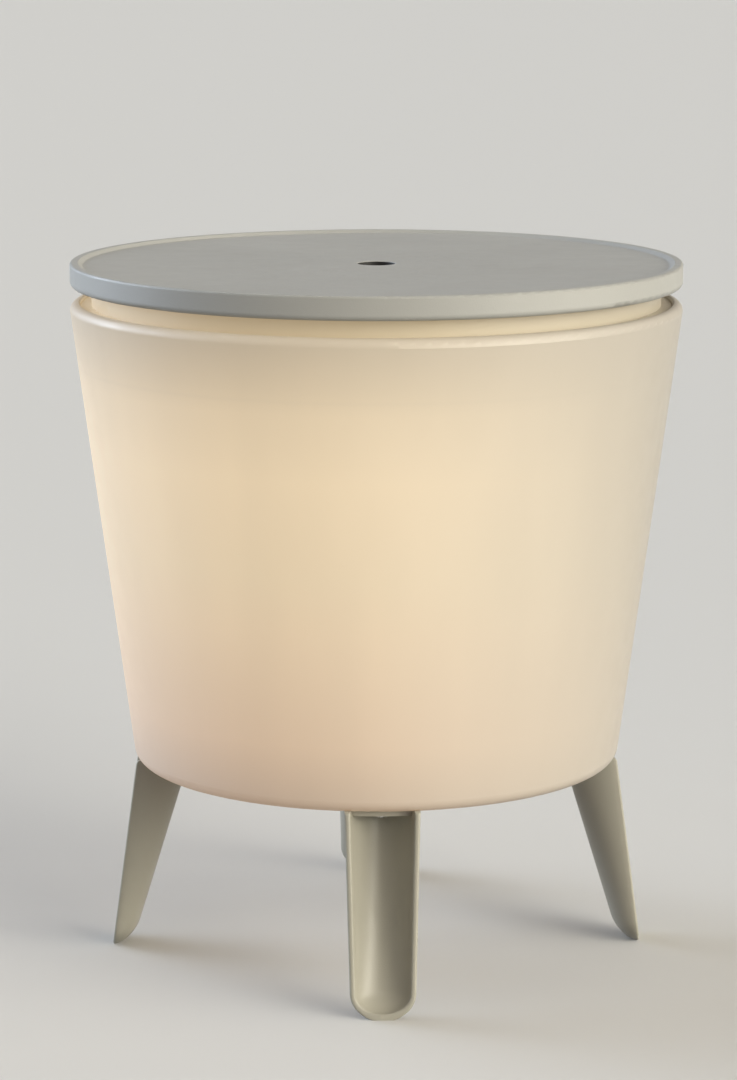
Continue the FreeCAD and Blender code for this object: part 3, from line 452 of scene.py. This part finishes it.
def screw_template(head, head_height, shank, length):
    """Pan head screw along +Z with its seat at the origin, a thread and a cross recess."""
    crown = [(0, -head_height)]
    for i in range(crown_steps + 1):
        angle = math.radians(90 * i / crown_steps)
        height = -head_height * math.cos(angle) * crown_drop - (1 - crown_drop) * head_height
        crown.append((head * (crown_flat + (1 - crown_flat) * math.sin(angle)), height))
    crown += [(head, 0), (shank * neck_share, 0)]
    pitch = shank * thread_pitch
    turns = int((length - 2 * shank) / pitch)
    thread = []
    for i in range(turns):
        start = thread_start * shank + i * pitch
        thread += [(shank * thread_root, start), (shank, start + pitch * thread_crest_at)]
        thread += [(shank * thread_root, start + pitch * thread_end_at)]
    tip = [(shank * tip_share, length - shank), (0, length)]
    screw = mesh_object("screw_template", lathe(crown + thread + tip, screw_sides))
    cutter_mesh = bmesh.new()
    for turn in (0, 90):
        made = bmesh.ops.create_cube(cutter_mesh, size=1.0)["verts"]
        arm = Matrix.Diagonal((head * recess_length, head * recess_width, head_height * recess_depth, 1))
        place = Matrix.Rotation(math.radians(turn), 4, "Z") @ Matrix.Translation((0, 0, -head_height))
        bmesh.ops.transform(cutter_mesh, matrix=place @ arm, verts=made)
    cutter = mesh_object("screw_cutter", cutter_mesh)
    cut = screw.modifiers.new("recess", "BOOLEAN")
    cut.operation = "DIFFERENCE"
    cut.use_self = True
    cut.object = cutter
    evaluated = screw.evaluated_get(bpy.context.evaluated_depsgraph_get())
    finished = bpy.data.meshes.new_from_object(evaluated)
    bpy.data.objects.remove(screw)
    bpy.data.objects.remove(cutter)
    return finished


def detailed_screws(node, body):
    """One object that stands for all the screws of a node."""
    joined = bmesh.new()
    template = None
    for points in solids_of(node):
        seat, direction, head, head_height, shank, length = screw_axis(points)
        if template is None:
            template = screw_template(head, head_height, shank, length)
        start = len(joined.verts)
        joined.from_mesh(template)
        joined.verts.ensure_lookup_table()
        turn = Vector((0, 0, 1)).rotation_difference(Vector(direction)).to_matrix().to_4x4()
        spin = Matrix.Rotation(recess_turn * start, 4, "Z")
        bmesh.ops.transform(joined, matrix=Matrix.Translation(Vector(seat)) @ turn @ spin,
                            verts=joined.verts[start:])
    obj = mesh_object(node + "_detailed", joined, screw_smoothing)
    obj.data.materials.append(finishes[slot_of[node]])
    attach(obj, body)
    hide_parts(node)
    return obj


for name in ("leg_screws", "light_screws", "column_foot_screws", "collar_screws",
             "board_screws", "bracket_screws"):
    detailed_screws(name, "root")
for name in ("table_screws", "column_head_screws"):
    detailed_screws(name, "table")


# Legs: scoops with a rounded rim and a plate that closes the hollow under the body. The face is the
# open side, at its distance from the middle of the table.

leg_top_face = 0.1976
leg_foot_face = 0.2195
leg_top_half_width = 0.0296
leg_foot_half_width = 0.0260
leg_top_depth = 0.044
leg_foot_depth = 0.020
leg_wall = 0.0046
leg_bend_level = 0.020
leg_floor_cut = 0.0015
leg_rise = 0.0015
leg_rim_rounding = 0.0018
rim_width_share = 0.45
rim_depth_share = 0.2
leg_tip_rounding = 0.003
leg_plate = 0.005
plate_setback = 0.012
tongue_centre = 0.138
tongue_half_width = 0.020

# Underside of the body, and the gap between it and a leg
body_radius = 0.1984
body_corner = 0.011
seat_clearance = 0.00015

# How finely the legs are divided
top_drops = (0, 0.0002, 0.0006, 0.0012, 0.0020)
wall_steps = 20
bend_steps = 14
side_steps = 22
rim_steps = 4
plate_steps = 60
plate_edge_steps = 16
tongue_step = 10
least_closing = 0.001
merge_distance = 0.000002


def leg_measures(level, inset):
    """Distance of the open face from the middle, half the width, and the depth, at a level."""
    share = (level - leg_bend_level) / (body_bottom - leg_bend_level)
    half_width = leg_foot_half_width + (leg_top_half_width - leg_foot_half_width) * share - inset
    depth = leg_foot_depth + (leg_top_depth - leg_foot_depth) * share - inset
    face = leg_foot_face + (leg_top_face - leg_foot_face) * level / body_bottom
    return face, half_width, depth


def body_underside(radius):
    """Height of the underside of the body, which is rounded at its edge."""
    across = min(max(radius - (body_radius - body_corner), 0), body_corner)
    return body_bottom + body_corner - math.sqrt(body_corner ** 2 - across ** 2)


def leg_ring(outer_level, inner_level, closing):
    """Loop round the wall of a leg: along its outside, over one rim, along its inside and back.

    The outside and the inside have their own levels, and closing narrows both at the foot.
    """
    outside = leg_measures(outer_level, 0)
    inside = leg_measures(inner_level, leg_wall)
    forward = Vector((1, 0, 0))

    def corner(measures, level, side):
        return Vector((measures[0], side * measures[1] * closing, level))

    def rounding(side):
        width = (corner(inside, inner_level, side) - corner(outside, outer_level, side)).length
        least_depth = min(outside[2], inside[2]) * closing
        return min(leg_rim_rounding, rim_width_share * width, rim_depth_share * least_depth)

    def surface(measures, level, side, radius):
        start = math.asin(radius / (measures[2] * closing)) if closing > least_closing else 0.0
        points = []
        for i in range(1, side_steps):
            angle = start + (math.pi - 2 * start) * i / side_steps
            x = measures[0] - measures[2] * closing * math.sin(angle)
            points.append(Vector((x, side * measures[1] * closing * math.cos(angle), level)))
        return points

    def rim(side):
        """Points over the rim, from the outside to the inside."""
        outer = corner(outside, outer_level, side)
        inner = corner(inside, inner_level, side)
        across = (inner - outer).normalized()
        radius = rounding(side)
        points = []
        for i in range(rim_steps + 1):
            angle = math.radians(90 * i / rim_steps)
            centre = outer + radius * (across - forward)
            points.append(centre + radius * (forward * math.sin(angle) - across * math.cos(angle)))
        for i in range(rim_steps + 1):
            angle = math.radians(90 * i / rim_steps)
            centre = inner - radius * (across + forward)
            points.append(centre + radius * (forward * math.cos(angle) + across * math.sin(angle)))
        return points

    ring = surface(outside, outer_level, 1, rounding(1)) + rim(-1)
    ring += surface(inside, inner_level, -1, rounding(1)) + rim(1)[::-1]
    over = min(max(outer_level - (body_bottom + leg_rise - leg_tip_rounding), 0), leg_tip_rounding)
    set_back = leg_tip_rounding - math.sqrt(leg_tip_rounding ** 2 - over ** 2)
    for point in ring:
        point.x = min(point.x, outside[0] - set_back)
        point.z = max(point.z, 0)
    return ring


def seated_rings(levels, lowest):
    """Loops near the top of a leg, each point kept under the body."""
    low = leg_ring(lowest, lowest, 1.0)
    seat = [body_underside(math.hypot(point.x, point.y)) - seat_clearance for point in low]
    rings = []
    for level in levels:
        ring = leg_ring(level, level, 1.0)
        for i in range(len(ring)):
            if level > seat[i]:
                ring[i] = low[i].lerp(ring[i], (seat[i] - lowest) / (level - lowest))
                ring[i].z = seat[i]
        rings.append(ring)
    return rings


def leg_wall_mesh():
    """Wall of a leg, from its top under the body down to the rounded end, with a face on top."""
    top = body_bottom + leg_rise
    low_start = top - leg_tip_rounding
    rings = seated_rings([top - drop for drop in top_drops], low_start)
    for i in range(wall_steps):
        level = low_start + (leg_bend_level - low_start) * i / wall_steps
        rings.append(leg_ring(level, level, 1.0))
    for i in range(bend_steps + 1):
        drop = math.sin(math.radians(90 * i / bend_steps))
        closing = max(math.cos(math.radians(90 * i / bend_steps)), 0)
        rings.append(leg_ring(leg_bend_level - (leg_bend_level + leg_floor_cut) * drop,
                              leg_bend_level - (leg_bend_level - leg_wall) * drop, closing))
    bm = bmesh.new()
    loops = [[bm.verts.new(point) for point in ring] for ring in rings]
    count = len(loops[0])
    for upper, lower in zip(loops, loops[1:]):
        for i in range(count):
            j = (i + 1) % count
            bm.faces.new((upper[i], upper[j], lower[j], lower[i]))
    rim = loops[0]
    last = side_steps - 2
    inner = side_steps - 1 + 2 * (rim_steps + 1)
    for i in range(last):
        facing = inner + last - i
        bm.faces.new((rim[i + 1], rim[i], rim[facing], rim[facing - 1]))
    bm.faces.new(rim[inner:last - 1:-1])
    bm.faces.new(rim[:1] + rim[:inner + last - 1:-1])
    bmesh.ops.remove_doubles(bm, verts=bm.verts, dist=merge_distance)
    bmesh.ops.dissolve_degenerate(bm, edges=bm.edges, dist=merge_distance)
    bmesh.ops.recalc_face_normals(bm, faces=bm.faces)
    return bm


def prism(outline, low, high):
    """Upright solid over an outline of (x, y) points."""
    bm = bmesh.new()
    lower = [bm.verts.new((x, y, low)) for x, y in outline]
    upper = [bm.verts.new((x, y, high)) for x, y in outline]
    for i in range(len(outline)):
        j = (i + 1) % len(outline)
        bm.faces.new((lower[i], lower[j], upper[j], upper[i]))
    bm.faces.new(lower[::-1])
    bm.faces.new(upper)
    bmesh.ops.recalc_face_normals(bm, faces=bm.faces)
    return bm


def plate_outline():
    """Plate over the hollow: half an ellipse cut off by an arc inside the open face."""
    edge = leg_top_face - plate_setback
    face, half_width, depth = leg_measures(body_bottom - leg_plate / 2, leg_wall / 2)
    points = []
    for i in range(plate_steps + 1):
        angle = math.pi * i / plate_steps
        x, y = face - depth * math.sin(angle), half_width * math.cos(angle)
        if math.hypot(x, y) <= edge:
            points.append((x, y))
    start = math.atan2(points[-1][1], points[-1][0])
    for i in range(1, plate_edge_steps):
        angle = start * (1 - 2 * i / plate_edge_steps)
        points.append((edge * math.cos(angle), edge * math.sin(angle)))
    return points


def tongue_outline():
    """Tongue under the body: straight sides and a round inner end."""
    points = []
    for degrees in range(90, 271, tongue_step):
        angle = math.radians(degrees)
        x, y = tongue_half_width * math.cos(angle), tongue_half_width * math.sin(angle)
        points.append((tongue_centre + x, y))
    outer_end = leg_top_face - leg_top_depth / 2
    return points + [(outer_end, -tongue_half_width), (outer_end, tongue_half_width)]


def joined_mesh(name, first, others):
    """The meshes made into one closed solid."""
    obj = mesh_object(name, first)
    added = [mesh_object(name + "_part", other) for other in others]
    for part in added:
        union = obj.modifiers.new("join", "BOOLEAN")
        union.operation = "UNION"
        union.object = part
    evaluated = obj.evaluated_get(bpy.context.evaluated_depsgraph_get())
    finished = bpy.data.meshes.new_from_object(evaluated)
    for scratch in added + [obj]:
        bpy.data.objects.remove(scratch)
    return finished


def detailed_legs():
    """The four legs, turned from one template."""
    low = body_bottom - leg_plate
    plate = prism(plate_outline(), low, body_bottom - 2 * seat_clearance)
    tongue = prism(tongue_outline(), low, body_bottom - seat_clearance)
    template = joined_mesh("leg_template", leg_wall_mesh(), [plate, tongue])
    for name, turn in (("leg_right", 0), ("leg_back", 90), ("leg_left", 180), ("leg_front", 270)):
        bm = bmesh.new()
        bm.from_mesh(template)
        bmesh.ops.rotate(bm, verts=bm.verts, matrix=Matrix.Rotation(math.radians(turn), 3, "Z"))
        obj = mesh_object(name + "_detailed", bm, moulding_smoothing)
        obj.data.materials.append(finishes[slot_of[name]])
        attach(obj, "root")
        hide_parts(name)


detailed_legs()


# Thin dark ring over the wall of the finger hole, from the level of the cup's flange to just under the tray

lining_inner = 0.01485
lining_outer = 0.01510
lining_over_cup = 0.0001
lining_under_lip = 0.0030
lining_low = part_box("grip_cup")[1].z + lining_over_cup
lining_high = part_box("table_top")[1].z - lining_under_lip
lining_sides = 96


def finger_hole_dark_ring():
    """Thin ring, closed all round."""
    bm = bmesh.new()
    turns = [2 * math.pi * i / lining_sides for i in range(lining_sides)]
    rings = []
    for radius, height in ((lining_outer, lining_low), (lining_outer, lining_high),
                           (lining_inner, lining_high), (lining_inner, lining_low)):
        ring = []
        for turn in turns:
            ring.append(bm.verts.new((radius * math.cos(turn), radius * math.sin(turn), height)))
        rings.append(ring)
    for first, second in zip(rings, rings[1:] + rings[:1]):
        for i in range(lining_sides):
            j = (i + 1) % lining_sides
            bm.faces.new((first[i], first[j], second[j], second[i]))
    bmesh.ops.recalc_face_normals(bm, faces=bm.faces)
    obj = mesh_object("finger_hole_dark_ring", bm, moulding_smoothing)
    obj.data.materials.append(finishes["dark_plastic"])
    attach(obj, "table")


finger_hole_dark_ring()


# Floor, light and camera

def floor():
    bm = bmesh.new()
    bmesh.ops.create_grid(bm, x_segments=1, y_segments=1, size=floor_reach)
    obj = mesh_object("floor", bm)
    finish = Finish("floor_paper", floor_colour, roughness=0.9)
    finish.set("Specular IOR Level", 0.2)
    tree = finish.tree
    path = tree.nodes.new("ShaderNodeLightPath").outputs
    seen = finish.calculate("MAXIMUM", path["Is Camera Ray"], path["Is Glossy Ray"])
    seen = finish.calculate("MAXIMUM", seen, path["Is Transmission Ray"])
    surface = finish.ramp(seen, [(0.0, bounce_colour), (1.0, floor_colour)])
    finish.link(surface, finish.shader.inputs["Base Color"])
    see_through = tree.nodes.new("ShaderNodeBsdfTransparent")
    side = tree.nodes.new("ShaderNodeNewGeometry")
    mixer = tree.nodes.new("ShaderNodeMixShader")
    finish.link(side.outputs["Backfacing"], mixer.inputs["Fac"])
    finish.link(finish.shader.outputs["BSDF"], mixer.inputs[1])
    finish.link(see_through.outputs["BSDF"], mixer.inputs[2])
    finish.link(mixer.outputs["Shader"], tree.nodes["Material Output"].inputs["Surface"])
    obj.data.materials.append(finish.material)


def soft_sun(name, bearing, rise, strength, colour):
    """Sun from a bearing, in degrees to the right of the front, at a height over the floor."""
    light = bpy.data.lights.new(name, "SUN")
    light.energy = strength
    light.angle = math.radians(sun_spread)
    light.color = colour
    obj = bpy.data.objects.new(name, light)
    bpy.context.scene.collection.objects.link(obj)
    turn = math.radians(bearing)
    flat = math.cos(math.radians(rise))
    towards = Vector((math.sin(turn) * flat, -math.cos(turn) * flat, math.sin(math.radians(rise))))
    obj.location = sun_distance * towards
    obj.rotation_euler = towards.to_track_quat("Z", "Y").to_euler()


def studio():
    world = bpy.data.worlds.new("studio")
    world.use_nodes = True
    background = world.node_tree.nodes["Background"]
    background.inputs["Color"].default_value = (*world_colour, 1)
    background.inputs["Strength"].default_value = world_level
    bpy.context.scene.world = world
    soft_sun("sun_front_right", bearing=45, rise=20, strength=1.6, colour=warm_light)
    soft_sun("sun_low_right", bearing=60, rise=8, strength=2.1, colour=warm_light)
    soft_sun("sun_side_right", bearing=85, rise=20, strength=0.7, colour=warm_light)
    soft_sun("sun_behind_left", bearing=-125, rise=20, strength=1.4, colour=cool_light)
    soft_sun("sun_low_left", bearing=-105, rise=10, strength=1.9, colour=cool_light)


def camera():
    data = bpy.data.cameras.new("camera")
    data.sensor_width = camera_sensor
    data.lens = camera_lens
    obj = bpy.data.objects.new("camera", data)
    bpy.context.scene.collection.objects.link(obj)
    turn = math.radians(camera_turn)
    obj.location = (camera_distance * math.sin(turn), -camera_distance * math.cos(turn), camera_height)
    obj.rotation_euler = (math.radians(90 - camera_pitch), 0, turn + math.radians(camera_aim))
    bpy.context.scene.camera = obj


floor()
studio()
camera()
bpy.context.scene.view_settings.view_transform = "Standard"
